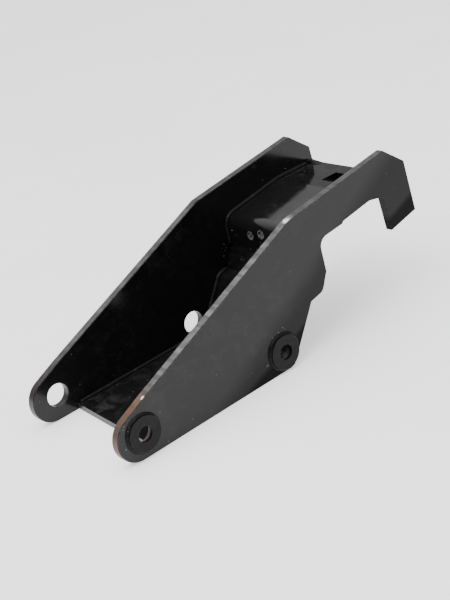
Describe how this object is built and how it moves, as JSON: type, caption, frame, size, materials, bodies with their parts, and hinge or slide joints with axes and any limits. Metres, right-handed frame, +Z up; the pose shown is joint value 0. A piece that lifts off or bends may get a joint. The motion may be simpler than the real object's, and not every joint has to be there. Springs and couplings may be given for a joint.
{
  "type": "quick coupler body",
  "caption": "Welded plate body of a small excavator quick coupler: hooked side plates, folded deck and web, shelf, bottom plate and washers over the pin bores.",
  "frame": {"origin": "on the rear pin bore's axis, midway between the two side plates", "axes": "+X from the rear pin towards the hooks, +Y to the left along the pins, +Z up"},
  "size_m": [0.5562, 0.205, 0.2182],
  "materials": {
    "black_paint": "satin",
    "painted_weld": "satin"
  },
  "bodies": {
    "root": {"left_side_plate": "black_paint", "right_side_plate": "black_paint", "deck_plate": "black_paint", "lower_cross_plate": "black_paint", "bottom_plate": "black_paint", "rear_boss_washer": "black_paint", "front_boss_washer": "black_paint", "rear_boss_weld": "painted_weld", "front_boss_weld": "painted_weld", "deck_weld_left": "painted_weld", "deck_weld_right": "painted_weld", "lower_weld_left": "painted_weld", "lower_weld_right": "painted_weld", "bottom_weld_left": "painted_weld", "bottom_weld_right": "painted_weld", "deck_end_weld_left": "painted_weld", "deck_end_weld_right": "painted_weld", "nose_seam_weld": "painted_weld", "heel_seam_weld": "painted_weld"}
  },
  "joints": []
}
